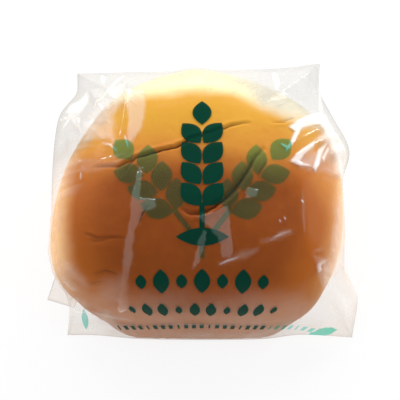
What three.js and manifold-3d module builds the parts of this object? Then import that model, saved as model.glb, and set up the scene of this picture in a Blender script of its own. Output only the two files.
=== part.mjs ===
// A smooth-crusted sweet bun in a sealed clear film bag, lying on its back. Millimetres, +Z up.
// +Y points to the head of the bag, where the film is drawn out into a flat edge at half height.
// -Y is the foot, where the film drops down a steep wall and is tucked under. +X is to the right.
// The sealed bag is one closed solid, out to the film: a dome where the film clings to the bun,
// straight film from the shoulders of the bun to the rim of the bag, and a flat underside.
import * as THREE from "three";
import { mergeVertices } from "three/addons/utils/BufferGeometryUtils.js";
import Module from "manifold-3d";

// Driving dimensions of the bun.
const BUN = {
  centreX: -1.1,
  centreY: 0.7,
  halfWidth: 60.6,
  halfLength: 55.5,
  height: 56,
  equatorHeight: 21, // height of its widest part
  baseShare: 0.8, // of the plan radius that lies flat on the table
};
// The plan is squarer at the foot, where the bun sags into the bag, than at the head,
// and its left side slopes in towards the head and bulges towards the foot.
const PLAN_POWER = { foot: 3.3, head: 1.75 };
const DOME_POWER = { foot: 2.7, head: 2.25 };
const PLAN_SWELLINGS = [
  { towards: 156, spread: 22, share: -0.09 },
  { towards: 215, spread: 22, share: 0.07 },
];

// Driving dimensions of the bag.
const FILM_GAP = 0.5; // between the crust and the film that clings to it
const EDGE_THICKNESS = 1.2; // of the flattened rim, several layers of film
const EAR_THICKNESS = 1.2;

// The rim of the bag, one side after another: stations of [x, y, z], from corner to corner.
const HEAD_EDGE = [
  [52.5, 58.6, 31],
  [36, 58, 28],
  [0, 57.4, 27],
  [-56, 56.4, 26],
];
const LEFT_SIDE = [
  [-56, 56.4, 26],
  [-56, 47, 25],
  [-59.6, 42, 24.5],
  [-62.8, 37, 24],
  [-64.6, 25, 23],
  [-64, -13, 20],
  [-62.6, -30, 15],
  [-57, -44, 6],
  [-57.3, -57, 3],
];
const FOOT_EDGE = [
  [-57.3, -57, 3],
  [-45, -57, 2.5],
  [-26, -58.8, 4],
  [26, -58.8, 4],
  [42, -56.8, 2.5],
  [64, -58, 3],
];
const RIGHT_SIDE = [
  [64, -58, 3],
  [66.8, -40, 6],
  [61.6, -34.6, 11],
  [60.8, -13, 20],
  [60.8, 6, 22],
  [64.2, 19.5, 24],
  [57, 36, 26],
  [52.2, 46.5, 28],
  [52.5, 58.6, 31],
];

// The left ear: the corner of the side fold that stands out behind the foot, as [x, y, z].
const LEFT_EAR = [
  [-61, -25, 10],
  [-66.8, -42, 4],
  [-55, -45.5, 4],
  [-50, -35, 8],
];

// Film drawn tight from a corner of the bag to the bun stands in pleats, which fan out from the corner.
const PLEAT_FANS = [
  { corner: [50, 51], towards: -128, spread: 84, pleats: 3, length: 44, height: 2.4 },
  { corner: [-54, 51], towards: -50, spread: 84, pleats: 3, length: 40, height: 2.2 },
  { corner: [-58, -53], towards: 50, spread: 70, pleats: 2, length: 32, height: 1.8 },
  { corner: [62, -51], towards: 132, spread: 70, pleats: 2, length: 34, height: 1.8 },
];

// Loose film stands off the crust in long soft ridges: from [x, y] to [x, y].
const RIDGES = [
  { from: [-24.5, 3], to: [-31, -52], width: 4, height: 1.6 },
  { from: [4, -39], to: [35, -25], width: 3.6, height: 1.3 },
  { from: [-5, -41], to: [8, -15], width: 3.6, height: 1.2 },
];

const SPOKES = 144;
const TOP_RINGS = 28;
const RISE_RINGS = 4; // of the underside, from the rim down to the table
const TABLE_RINGS = 2; // of the underside, on the table
const SECTION_STEPS = 48;
const BISECTIONS = 40;

const mix = (a, b, t) => a + (b - a) * t;
const clamp01 = (t) => Math.min(1, Math.max(0, t));
const smooth = (t) => t * t * (3 - 2 * t);

function stationCurve(stations) {
  const points = stations.map(([x, y, z]) => new THREE.Vector3(x, y, z));
  return new THREE.CatmullRomCurve3(points, false, "centripetal");
}

const RIM_SIDES = [HEAD_EDGE, LEFT_SIDE, FOOT_EDGE, RIGHT_SIDE].map(stationCurve);

// A point of the rim, from turn 0 at the head's right corner once round to 1.
function rimPoint(turn) {
  const along = (turn % 1) * RIM_SIDES.length;
  const side = Math.floor(along);
  return RIM_SIDES[side].getPointAt(along - side);
}

// The smaller turn from one direction to another, in degrees.
const turnBetween = (from, to) => ((((to - from) % 360) + 540) % 360) - 180;
const degrees = (angle) => (angle * 180) / Math.PI;

// The bun's plan radius in a direction: a superellipse whose power changes from foot to head.
function bunRadius(angle) {
  const c = Math.abs(Math.cos(angle));
  const s = Math.abs(Math.sin(angle));
  const power = mix(PLAN_POWER.foot, PLAN_POWER.head, (Math.sin(angle) + 1) / 2);
  let radius = Math.pow(Math.pow(c / BUN.halfWidth, power) + Math.pow(s / BUN.halfLength, power), -1 / power);
  for (const { towards, spread, share } of PLAN_SWELLINGS) {
    radius *= 1 + share * Math.exp(-Math.pow(turnBetween(towards, degrees(angle)) / spread, 2));
  }
  return radius;
}

// Height of the film over the crust at a share of the bun's radius.
function domeHeight(share, angle) {
  const power = mix(DOME_POWER.foot, DOME_POWER.head, (Math.sin(angle) + 1) / 2);
  const rise = BUN.height + FILM_GAP - BUN.equatorHeight;
  return BUN.equatorHeight + rise * Math.pow(Math.max(0, 1 - Math.pow(share, power)), 1 / power);
}

// The [share of the radius, height] of the crust below its widest part, for a slope from 0 to a right angle.
function flankPoint(slope) {
  const share = mix(BUN.baseShare, 1, Math.cos(slope));
  return [share, BUN.equatorHeight * (1 - Math.sin(slope))];
}

// The value at which a test that fails at first comes true.
function turningPoint(low, high, test) {
  for (let i = 0; i < BISECTIONS; i++) {
    const middle = (low + high) / 2;
    if (test(middle)) high = middle;
    else low = middle;
  }
  return low;
}

// The share of the radius at which the film leaves the dome and runs straight to the rim.
function leavingShare(rimShare, rimHeight, angle) {
  const step = 1e-4;
  return turningPoint(0, 1 - step, (share) => {
    const slope = (domeHeight(share + step, angle) - domeHeight(share, angle)) / step;
    return domeHeight(share, angle) + slope * (rimShare - share) <= rimHeight;
  });
}

// The slope of the flank at which the film of the underside leaves it and runs straight to the rim.
function leavingSlope(rimShare, rimHeight) {
  const level = Math.asin(1 - Math.min(1, rimHeight / BUN.equatorHeight));
  return turningPoint(level, Math.PI / 2, (slope) => {
    const [share, height] = flankPoint(slope);
    const inwards = (1 - BUN.baseShare) * Math.sin(slope);
    const downwards = BUN.equatorHeight * Math.cos(slope);
    return (rimHeight - height) * inwards >= (rimShare - share) * downwards;
  });
}

// A path through points of [radius, height], measured along its length.
function sectionPath(points) {
  const path = new THREE.CurvePath();
  const corners = points.map(([radius, height]) => new THREE.Vector2(radius, height));
  for (let i = 1; i < corners.length; i++) path.add(new THREE.LineCurve(corners[i - 1], corners[i]));
  return path;
}

// The film's section from the middle of the top out to the rim.
function topSection(angle, rimRadius, rimHeight) {
  const radius = bunRadius(angle) + FILM_GAP;
  const leaves = leavingShare(rimRadius / radius, rimHeight, angle);
  const points = [];
  for (let i = 0; i <= SECTION_STEPS; i++) {
    const share = leaves * Math.sin(((i / SECTION_STEPS) * Math.PI) / 2);
    points.push([share * radius, domeHeight(share, angle)]);
  }
  return sectionPath([...points, [rimRadius, rimHeight]]);
}

// The film's section from the rim down round the flank of the bun to the table.
function riseSection(angle, rimRadius, rimHeight) {
  const radius = bunRadius(angle) + FILM_GAP;
  const leaves = leavingSlope(rimRadius / radius, rimHeight);
  const points = [[rimRadius, rimHeight]];
  for (let i = 0; i <= SECTION_STEPS; i++) {
    const [share, height] = flankPoint(mix(leaves, Math.PI / 2, i / SECTION_STEPS));
    points.push([share * radius, height]);
  }
  return sectionPath(points);
}

function ridgeRelief(x, y) {
  let sum = 0;
  for (const { from, to, width, height } of RIDGES) {
    const [dx, dy] = [to[0] - from[0], to[1] - from[1]];
    const along = clamp01(((x - from[0]) * dx + (y - from[1]) * dy) / (dx * dx + dy * dy));
    const off = Math.hypot(x - from[0] - along * dx, y - from[1] - along * dy) / width;
    sum += height * Math.exp(-off * off) * Math.pow(Math.sin(Math.PI * mix(0.1, 0.9, along)), 0.7);
  }
  return sum;
}

function pleatRelief(x, y) {
  let sum = 0;
  for (const { corner, towards, spread, pleats, length, height } of PLEAT_FANS) {
    const reach = Math.min(1, Math.hypot(x - corner[0], y - corner[1]) / length);
    const turn = turnBetween(towards, degrees(Math.atan2(y - corner[1], x - corner[0]))) / spread;
    if (Math.abs(turn) > 0.5) continue;
    const wave = Math.pow(Math.cos(turn * pleats * Math.PI), 2);
    const fade = Math.pow(Math.cos(turn * Math.PI), 0.5);
    sum += height * wave * fade * Math.pow(Math.sin(reach * Math.PI), 2);
  }
  return sum;
}

// The [radius, height] of one ring of the bag on one spoke, counted from the middle of the top.
function ringPoint(ring, top, rise) {
  if (ring <= TOP_RINGS) return top.getPointAt(ring / TOP_RINGS).toArray();
  const below = ring - TOP_RINGS - 1;
  if (below <= RISE_RINGS) return rise.getPointAt(below / RISE_RINGS).toArray();
  const [tableRadius] = rise.getPointAt(1).toArray();
  return [tableRadius * (1 - (below - RISE_RINGS) / TABLE_RINGS), 0];
}

// The closed bag: a sphere's rows become the top's rings, the rim and the underside's rings.
function bagGeometry() {
  const rings = TOP_RINGS + 1 + RISE_RINGS + TABLE_RINGS;
  const geometry = new THREE.SphereGeometry(1, SPOKES, rings);
  const position = geometry.getAttribute("position");
  for (let spoke = 0; spoke <= SPOKES; spoke++) {
    const rim = rimPoint((spoke % SPOKES) / SPOKES);
    const angle = Math.atan2(rim.y - BUN.centreY, rim.x - BUN.centreX);
    const rimRadius = Math.hypot(rim.y - BUN.centreY, rim.x - BUN.centreX);
    const top = topSection(angle, rimRadius, rim.z + EDGE_THICKNESS / 2);
    const rise = riseSection(angle, rimRadius, rim.z - EDGE_THICKNESS / 2);
    for (let ring = 0; ring <= rings; ring++) {
      const [radius, height] = ringPoint(ring, top, rise);
      const x = BUN.centreX + radius * Math.cos(angle);
      const y = BUN.centreY + radius * Math.sin(angle);
      const inland = smooth(clamp01((1 - ring / TOP_RINGS) * 5));
      const z = height + inland * (ridgeRelief(x, y) + pleatRelief(x, y));
      position.setXYZ(ring * (SPOKES + 1) + spoke, x, y, z);
    }
  }
  return geometry;
}

// A thin flap of film between its corners, with both faces split into triangles alike.
function flapGeometry(corners) {
  const [a, b, c, d] = corners.map(([x, y, z]) => new THREE.Vector3(x, y, z));
  const geometry = new THREE.BoxGeometry(1, 1, 1, 6, 6, 1);
  const position = geometry.getAttribute("position");
  const point = new THREE.Vector3();
  for (let i = 0; i < position.count; i++) {
    const [u, v] = [position.getX(i) + 0.5, position.getY(i) + 0.5];
    const layer = position.getZ(i) * EAR_THICKNESS;
    point.copy(a).lerp(b, u);
    point.lerp(d.clone().lerp(c, u), v);
    position.setXYZ(i, point.x, point.y, point.z + layer);
  }
  return geometry;
}

const wasm = await Module();
wasm.setup();

function solidOf(geometry) {
  const bare = geometry.clone();
  bare.deleteAttribute("normal");
  bare.deleteAttribute("uv");
  const merged = mergeVertices(bare, 1e-3);
  const solid = new wasm.Manifold(
    new wasm.Mesh({
      numProp: 3,
      vertProperties: merged.getAttribute("position").array,
      triVerts: new Uint32Array(merged.index.array),
    }),
  );
  return solid;
}

function geometryOf(solid) {
  const mesh = solid.getMesh();
  const geometry = new THREE.BufferGeometry();
  geometry.setAttribute("position", new THREE.BufferAttribute(mesh.vertProperties, 3));
  geometry.setIndex(new THREE.BufferAttribute(mesh.triVerts, 1));
  geometry.computeVertexNormals();
  return geometry;
}

const part = new THREE.Group();
const bag = new THREE.Mesh(
  geometryOf(solidOf(bagGeometry()).add(solidOf(flapGeometry(LEFT_EAR)))),
  new THREE.MeshStandardMaterial({ color: 0xb87a45, roughness: 0.35, metalness: 0 }),
);
bag.name = "bagged_bun";
part.add(bag);

// The origin is the middle of the footprint, on the table.
const box = new THREE.Box3().setFromObject(bag);
const middle = box.getCenter(new THREE.Vector3());
bag.geometry.translate(-middle.x, -middle.y, -box.min.z);

export default part;
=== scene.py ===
"""A smooth-crusted sweet bun in a sealed, printed bag of clear film, lying on its back.

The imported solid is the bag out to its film. Here it is replaced by the film itself, by the ear
of the bag's side fold and by the bun inside. Sizes are in millimetres, in the frame of the solid,
and become metres when a mesh is finished. +Y points to the head of the bag, +Z out of the print.
"""

import math

import bmesh
import bpy
import numpy as np
from mathutils import Euler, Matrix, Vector, noise
from mathutils.bvhtree import BVHTree


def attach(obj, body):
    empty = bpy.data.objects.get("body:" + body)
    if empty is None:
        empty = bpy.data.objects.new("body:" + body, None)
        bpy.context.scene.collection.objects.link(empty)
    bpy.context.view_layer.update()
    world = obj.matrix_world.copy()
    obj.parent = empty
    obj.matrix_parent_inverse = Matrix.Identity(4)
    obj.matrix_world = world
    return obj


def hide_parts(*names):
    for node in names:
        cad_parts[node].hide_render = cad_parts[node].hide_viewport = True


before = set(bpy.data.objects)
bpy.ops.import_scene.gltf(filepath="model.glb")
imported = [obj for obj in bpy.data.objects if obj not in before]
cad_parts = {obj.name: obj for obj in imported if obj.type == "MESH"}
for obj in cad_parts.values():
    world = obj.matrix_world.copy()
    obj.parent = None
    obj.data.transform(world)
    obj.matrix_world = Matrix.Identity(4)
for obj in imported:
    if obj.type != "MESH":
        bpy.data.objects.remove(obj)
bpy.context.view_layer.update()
MM = 0.001

# ---------------------------------------------------------------- sizes of the bun and the bag

BUN_CENTRE = (-1.1, 0.7)
BUN_HALF_WIDTH = 60.6
BUN_HALF_LENGTH = 55.5
BUN_HEIGHT = 56
EQUATOR_HEIGHT = 21
BASE_SHARE = 0.8  # of the plan radius that lies flat
BUN_FLOOR = 0.3  # height of the bun's base over the table, on its film
PLAN_POWER = {"foot": 3.3, "head": 1.75}
DOME_POWER = {"foot": 2.7, "head": 2.25}
# direction in degrees, spread in degrees, share of the radius
PLAN_SWELLINGS = [(156, 22, -0.09), (215, 22, 0.07), (234, 14, -0.03), (312, 12, 0.02)]
FILM_GAP = 0.3
# The bun's foot side fills the end of the bag: gap to the film, height over which it fills out,
# and how far to both sides, in degrees, it does so in full and at all.
FOOT_DIRECTION = -90
PRESSED_GAP = 0.5
PRESSED_FROM = 4
PRESSED_SPREAD = (24, 52)

# The rim of the bag, side after side from the head's right corner round to the left.
HEAD_EDGE = [(52.5, 58.6, 31), (36, 58, 28), (0, 57.4, 27), (-56, 56.4, 26)]
LEFT_SIDE = [
    (-56, 56.4, 26), (-56, 47, 25), (-59.6, 42, 24.5), (-62.8, 37, 24), (-64.6, 25, 23),
    (-64, -13, 20), (-62.6, -30, 15), (-57, -44, 6), (-57.3, -57, 3),
]
FOOT_EDGE = [
    (-57.3, -57, 3), (-45, -57, 2.5), (-26, -58.8, 4), (26, -58.8, 4), (42, -56.8, 2.5), (64, -58, 3),
]
RIGHT_SIDE = [
    (64, -58, 3), (66.8, -40, 6), (61.6, -34.6, 11), (60.8, -13, 20), (60.8, 6, 22),
    (64.2, 19.5, 24), (57, 36, 26), (52.2, 46.5, 28), (52.5, 58.6, 31),
]
SIDE_STEP = (64, -37)  # where the right side is folded in, and its edge is no seam
LEFT_EAR = [(-61, -25, 10), (-66.8, -42, 4), (-55, -45.5, 4), (-50, -35, 8)]

# ---------------------------------------------------------------- how finely the meshes are cut

SPOKES = 440
ROWS = 220
TOP_PART = 0.8  # share of the film's rows that lie on its top
RISE_PART = 0.7  # share of the underside's rows from the rim down to the table
DOME_PART = 0.8  # share of the bun's rows that lie on its dome
FLANK_PART = 0.6  # share of the bun's lower rows on its flank
SECTION_STEPS = 60
CURVE_STEPS = 40
BISECTIONS = 40
SHARE_STEP = 1e-4  # over which a slope of the dome is taken
SEAM_GAP = 1e-6  # within which a ball's seams and poles are joined


def mix(a, b, t):
    return a + (b - a) * t


def smooth(t):
    t = np.clip(t, 0, 1)
    return t * t * (3 - 2 * t)


def rise(value, low, high):
    """0 below low, 1 above high, and a soft step between them."""
    return smooth((value - low) / (high - low))


# ---------------------------------------------------------------- sections of the bun and the film


def centripetal_curve(stations):
    """A smooth curve through stations, as many points [x, y, z]."""
    knots = np.array(stations, float)
    ends = [2 * knots[0] - knots[1], 2 * knots[-1] - knots[-2]]
    knots = np.vstack([ends[:1], knots, ends[1:]])
    steps = np.linspace(0, 1, CURVE_STEPS, endpoint=False)[:, None]
    points = []
    for before, start, end, after in zip(knots, knots[1:], knots[2:], knots[3:]):
        gaps = [np.linalg.norm(b - a) ** 0.5 for a, b in ((before, start), (start, end), (end, after))]
        go = (start - before) / gaps[0] - (end - before) / (gaps[0] + gaps[1]) + (end - start) / gaps[1]
        stop = (end - start) / gaps[1] - (after - start) / (gaps[1] + gaps[2]) + (after - end) / gaps[2]
        go, stop = go * gaps[1], stop * gaps[1]
        c2, c3 = 3 * (end - start) - 2 * go - stop, 2 * (start - end) + go + stop
        points.append(start + go * steps + c2 * steps**2 + c3 * steps**3)
    return np.vstack([*points, knots[-2]])


def path_lengths(points):
    """The length of a path up to each of its points."""
    return np.r_[0, np.cumsum(np.linalg.norm(np.diff(points, axis=0), axis=1))]


def along(points, shares):
    """Points at shares of a path's length."""
    lengths = path_lengths(points)
    return np.stack([np.interp(np.asarray(shares) * lengths[-1], lengths, c) for c in points.T], axis=-1)


def rim_points(turns):
    """Points of the rim at turns from 0 to 1, a quarter for each side."""
    sides = [centripetal_curve(s) for s in (HEAD_EDGE, LEFT_SIDE, FOOT_EDGE, RIGHT_SIDE)]
    return np.array([along(sides[int(t * 4) % 4], [t * 4 % 1])[0] for t in turns])


def turn_between(start, end):
    """The smaller turn from one direction to another, in degrees."""
    return (end - start + 180) % 360 - 180


def head_share(angle):
    """0 towards the foot, 1 towards the head."""
    return (np.sin(angle) + 1) / 2


def bell(value):
    """1 at 0, and falling to nothing on both sides."""
    return np.exp(-(value**2))


def bun_radius(angle):
    """The radius of the bun's plan in a direction."""
    c, s = np.abs(np.cos(angle)), np.abs(np.sin(angle))
    power = mix(PLAN_POWER["foot"], PLAN_POWER["head"], head_share(angle))
    radius = ((c / BUN_HALF_WIDTH) ** power + (s / BUN_HALF_LENGTH) ** power) ** (-1 / power)
    for towards, spread, share in PLAN_SWELLINGS:
        radius = radius * (1 + share * bell(turn_between(towards, np.degrees(angle)) / spread))
    return radius


def dome_height(share, angle, gap):
    """Height of a surface that lies a gap over the crust, at a share of the bun's radius."""
    power = mix(DOME_POWER["foot"], DOME_POWER["head"], head_share(angle))
    left = np.maximum(0, 1 - np.clip(share, 0, 1) ** power)
    return EQUATOR_HEIGHT + (BUN_HEIGHT + gap - EQUATOR_HEIGHT) * left ** (1 / power)


def flank_point(slope):
    """The share of the radius and the height of the crust below its widest part."""
    return mix(BASE_SHARE, 1, np.cos(slope)), EQUATOR_HEIGHT * (1 - np.sin(slope))


def turning_point(low, high, test):
    """For each spoke, the value at which a test that fails at first comes true."""
    for _ in range(BISECTIONS):
        middle = (low + high) / 2
        passed = test(middle)
        high, low = np.where(passed, middle, high), np.where(passed, low, middle)
    return low


def leaving_share(rim_share, rim_height, angle):
    """The share of the radius at which the film leaves the dome and runs straight to the rim."""

    def beyond(share):
        here = dome_height(share, angle, FILM_GAP)
        slope = (dome_height(share + SHARE_STEP, angle, FILM_GAP) - here) / SHARE_STEP
        return here + slope * (rim_share - share) <= rim_height

    return turning_point(np.zeros_like(angle), np.full_like(angle, 1 - SHARE_STEP), beyond)


def leaving_slope(rim_share, rim_height):
    """The slope of the flank at which the film of the underside leaves it for the rim."""

    def beyond(slope):
        share, height = flank_point(slope)
        inwards, downwards = (1 - BASE_SHARE) * np.sin(slope), EQUATOR_HEIGHT * np.cos(slope)
        return (rim_height - height) * inwards >= (rim_share - share) * downwards

    level = np.arcsin(1 - np.minimum(1, rim_height / EQUATOR_HEIGHT))
    return turning_point(level, np.full_like(level, math.pi / 2), beyond)


def film_sections(rim):
    """For every spoke, the film's [radius, height] along its top and along its underside."""
    x, y = rim[:, 0] - BUN_CENTRE[0], rim[:, 1] - BUN_CENTRE[1]
    angle, rim_radius, rim_height = np.arctan2(y, x), np.hypot(x, y), rim[:, 2]
    radius = bun_radius(angle) + FILM_GAP
    steps = np.linspace(0, 1, SECTION_STEPS)[:, None]
    quarter = np.linspace(0, math.pi / 2, SECTION_STEPS)[:, None]
    shares = leaving_share(rim_radius / radius, rim_height, angle) * np.sin(quarter)
    slopes = mix(leaving_slope(rim_radius / radius, rim_height), math.pi / 2, steps)
    under_shares, under_heights = flank_point(slopes)
    top = np.stack([shares * radius, dome_height(shares, angle, FILM_GAP)], -1)
    under = np.stack([under_shares * radius, under_heights], -1)
    rim_point = np.stack([rim_radius, rim_height], -1)[None]
    return angle, np.vstack([top, rim_point]), np.vstack([rim_point, under])


def split_rows(rows, upper_part):
    """Which rows lie on the upper side, and their shares of the way down each side."""
    fall = np.arange(rows + 1) / rows
    upper = fall <= upper_part
    return upper, fall[upper] / upper_part, (fall[~upper] - upper_part) / (1 - upper_part)


def placed(radius, height, angle):
    """Points at radii and heights, in one direction from the middle of the bun."""
    x, y = BUN_CENTRE[0] + radius * math.cos(angle), BUN_CENTRE[1] + radius * math.sin(angle)
    return np.stack([x, y, height], -1)


def film_table(spokes, rows):
    """The bare film's points, and their places on the flattened sheet, by spoke and row."""
    angles, tops, unders = film_sections(rim_points(np.arange(spokes) / spokes))
    on_top, down_top, down_under = split_rows(rows, TOP_PART)
    table, sheet = np.zeros((spokes, rows + 1, 3)), np.zeros((spokes, rows + 1, 3))
    for i, angle in enumerate(angles):
        upper = along(tops[:, i], down_top)
        lower = along(unders[:, i], np.minimum(1, down_under / RISE_PART))
        lower[:, 0] *= np.minimum(1, (1 - down_under) / (1 - RISE_PART))
        section = np.vstack([upper, lower])
        table[i] = placed(*section.T, angle)
        sheet[i] = placed(path_lengths(section), on_top * 1.0, angle)
    return table, sheet


def pressed_out(section, film, angle):
    """A section of the bun whose foot side is pressed against the film, below the dome."""
    radius, height = section.T
    wall = np.interp(height, film[::-1, 1], film[::-1, 0]) - PRESSED_GAP
    wall = np.minimum(wall, film[-1, 0] - PRESSED_GAP)
    off_foot = abs(turn_between(FOOT_DIRECTION, math.degrees(angle)))
    press = rise(off_foot, PRESSED_SPREAD[1], PRESSED_SPREAD[0]) * rise(height, 0, PRESSED_FROM)
    return np.stack([mix(radius, np.maximum(radius, wall), press), height], -1)


def bun_table(spokes, rows):
    """The bare crust's points by spoke and row."""
    film_angles, films, _ = film_sections(rim_points(np.arange(spokes) / spokes))
    _, down_dome, below = split_rows(rows, DOME_PART)
    parts = np.sin(np.linspace(0, math.pi / 2, SECTION_STEPS * 2))
    table = np.zeros((spokes, rows + 1, 3))
    for i, angle in enumerate(np.arange(spokes) / spokes * 2 * math.pi):
        radius = float(bun_radius(angle))
        upper = along(np.stack([parts * radius, dome_height(parts, angle, 0)], -1), down_dome)
        share, height = flank_point(np.minimum(1, below / FLANK_PART) * math.pi / 2)
        share = share * np.minimum(1, (1 - below) / (1 - FLANK_PART))
        height = BUN_FLOOR + height * (1 - BUN_FLOOR / EQUATOR_HEIGHT)
        section = np.vstack([upper, np.stack([share * radius, height], -1)])
        nearest = np.argmin(np.abs(np.angle(np.exp(1j * (film_angles - angle)))))
        table[i] = placed(*pressed_out(section, films[:, nearest], angle).T, angle)
    return table


# ---------------------------------------------------------------- meshes


class Piece:
    """A mesh in millimetres that is shaped by moving its vertices, and then finished in metres."""

    def __init__(self, name, builder):
        self.name = name
        self.mesh = bpy.data.meshes.new(name)
        made = bmesh.new()
        builder(made)
        made.to_mesh(self.mesh)
        made.free()

    def read(self, key):
        """Three numbers of every vertex."""
        flat = np.empty(len(self.mesh.vertices) * 3)
        self.mesh.vertices.foreach_get(key, flat)
        return flat.reshape(-1, 3)

    def points(self):
        return self.read("co")

    def normals(self):
        return self.read("normal")

    def move(self, points):
        self.mesh.vertices.foreach_set("co", np.ascontiguousarray(points, float).ravel())
        self.mesh.update()

    def note(self, name, values):
        """Keeps a number, or three, for each vertex, for the material to read."""
        kind, key = ("FLOAT", "value") if np.ndim(values) == 1 else ("FLOAT_VECTOR", "vector")
        kept = self.mesh.attributes.new(name, kind, "POINT")
        kept.data.foreach_set(key, np.ascontiguousarray(values, float).ravel())

    def tree(self):
        """A search tree over the mesh, still in millimetres."""
        made = bmesh.new()
        made.from_mesh(self.mesh)
        found = BVHTree.FromBMesh(made)
        made.free()
        return found

    def finish(self, material, slot):
        self.move(self.points() * MM)
        self.mesh.polygons.foreach_set("use_smooth", [True] * len(self.mesh.polygons))
        self.mesh.materials.append(material)
        made = bpy.data.objects.new(self.name, self.mesh)
        bpy.context.scene.collection.objects.link(made)
        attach(made, "root")
        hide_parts("bagged_bun")
        return made


def ball_builder(made):
    """A ball of even spokes and rows: a grid that is wrapped round, and joined at seam and poles."""
    bmesh.ops.create_grid(made, x_segments=SPOKES, y_segments=ROWS, size=0.5)
    joints = []
    for vert in made.verts:
        spoke, row = round((vert.co.x + 0.5) * SPOKES), round((0.5 - vert.co.y) * ROWS)
        turn, fall = spoke / SPOKES * 2 * math.pi, row / ROWS * math.pi
        vert.co = (math.cos(turn) * math.sin(fall), math.sin(turn) * math.sin(fall), math.cos(fall))
        if spoke in (0, SPOKES) or row in (0, ROWS):
            joints.append(vert)
    bmesh.ops.remove_doubles(made, verts=joints, dist=SEAM_GAP)


def ball_places(piece):
    """The spoke and the row of each vertex of a ball."""
    x, y, z = piece.points().T
    spoke = np.rint(np.arctan2(y, x) / (2 * math.pi) * SPOKES).astype(int) % SPOKES
    row = np.rint(np.arccos(np.clip(z, -1, 1)) / math.pi * ROWS).astype(int)
    return spoke, row


SEED_STEPS = (17.3, 5.1, 9.7)  # how far apart two seeds read the noise, in features
FRACTAL = (0.6, 2.0)  # how octaves of noise lose height, and how they shrink


def noise_at(points, size, seed, octaves=1):
    """Smooth noise from -1 to 1 with features of one size."""
    shift = Vector([seed * step for step in SEED_STEPS])
    spots = [Vector(p) / size + shift for p in points]
    if octaves == 1:
        return np.array([noise.noise(p) for p in spots])
    return np.array([noise.fractal(p, *FRACTAL, octaves) for p in spots])


def line_distance(x, y, points):
    """Distance to a run of straight pieces, the signed side, and the share of the way along it."""
    best, side, way = np.full_like(x, np.inf), np.zeros_like(x), np.zeros_like(x)
    corners = np.array(points, float)
    lengths = np.linalg.norm(np.diff(corners, axis=0), axis=1)
    starts = np.r_[0, np.cumsum(lengths)] / lengths.sum()
    for (ax, ay), (bx, by), start, end in zip(corners, corners[1:], starts, starts[1:]):
        dx, dy = bx - ax, by - ay
        t = np.clip(((x - ax) * dx + (y - ay) * dy) / (dx * dx + dy * dy), 0, 1)
        ox, oy = x - ax - t * dx, y - ay - t * dy
        far = np.hypot(ox, oy)
        nearer = far < best
        best = np.where(nearer, far, best)
        side = np.where(nearer, np.sign(dx * oy - dy * ox), side)
        way = np.where(nearer, mix(start, end, t), way)
    return best, side, way


def tapered(way, margin, power):
    """1 in the middle of a line and less towards its ends, by the share of the way along it."""
    return np.sin(math.pi * mix(margin, 1 - margin, way)) ** power


def outside(x, y, outline):
    """Distance outside a closed outline, less than 0 inside it."""
    corners = [*outline, outline[0]]
    far, _, _ = line_distance(x, y, corners)
    inside = np.zeros(x.shape, bool)
    for (ax, ay), (bx, by) in zip(corners, corners[1:]):
        if ay != by:
            inside ^= ((ay > y) != (by > y)) & (x < ax + (bx - ax) * (y - ay) / (by - ay))
    return np.where(inside, -far, far)


# ---------------------------------------------------------------- the bun

# Folds of the crust: the line, its depth, its width, and how far its upper lip stands over it.
CREASES = [
    (
        [(-42, 1.4), (-37, 1), (-32.7, 0.4), (-28, 2.2), (-25.2, 3.8), (-17.5, 5.8), (-11.7, 6.9),
         (-7.4, 8.5), (-4.7, 10.7), (3.9, 13.4), (11.8, 16.9), (18.2, 18.7)],
        1.2, 0.7, 0.45,
    ),
    ([(-8.6, 7.4), (-7, 9.4), (-3.6, 11.6)], 0.7, 0.6, 0.3),
    ([(-25.2, 3.8), (-28.5, 0.5), (-30, -3)], 0.6, 0.7, 0.3),
    (
        [(23.5, 7), (20.1, 2.6), (18.5, -0.5), (16.9, -3.5), (12.9, -9.7), (9.8, -13.1), (7.5, -15.1),
         (4.5, -17.5), (1.5, -19), (-1.6, -20), (-4.2, -20.4), (-7.2, -18.6)],
        1.8, 0.95, 0.6,
    ),
    ([(-20.5, -17.2), (-21.9, -18.8), (-23.0, -20.7), (-23.7, -23.4)], 0.9, 0.7, 0.4),
    ([(-45, -25.6), (-42, -27.2), (-39.4, -28.3), (-36, -27.6)], 0.5, 0.5, 0.2),
    ([(-43, -28.6), (-39, -29.4), (-34, -28.2), (-29.6, -28.9)], 0.4, 0.5, 0.2),
    ([(-41.5, -41), (-37.6, -40), (-34, -40.6), (-31.6, -42.2)], 0.5, 0.5, 0.2),
    ([(-44.5, -44.2), (-41, -43.4), (-38.2, -43.8)], 0.35, 0.5, 0.15),
    ([(25, 2), (22.6, -2.2), (21.5, -5.5)], 0.5, 0.7, 0.3),
    ([(37.5, 24), (33, 20.6), (28, 19.6)], 0.5, 0.6, 0.3),
]


# A fold's line wanders by a distance over a length. Its lip and its line of painted shade are measured in
# widths of its groove: how far off the lip stands, how wide it is, and how wide the line is.
FOLD_WANDER = (0.35, 2.2)
LIP_OFF = 1.8
LIP_WIDTH = 1.6
LINE_WIDTH = 0.45
PAINTED_SHADE_PER_DEPTH = 1.3  # how dark the painted shade along a groove is, for each millimetre of its depth
FOLD_TAPER = (0.03, 0.6)
SWELLINGS = [(30, 0.8, 1), (13, 0.25, 4)]  # size, height and seed of the crust's unevenness
SKIN = (3.5, 0.05)  # size and height of its finest unevenness
RELIEF_HEIGHTS = (24, 40)  # between which the crust's relief sets in
LINE_HEIGHTS = (30, 40)  # between which the painted shade along its creases sets in


def swelling(points):
    """The soft unevenness of the crust, which the film follows."""
    return sum(height * noise_at(points, size, seed) for size, height, seed in SWELLINGS)


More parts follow.
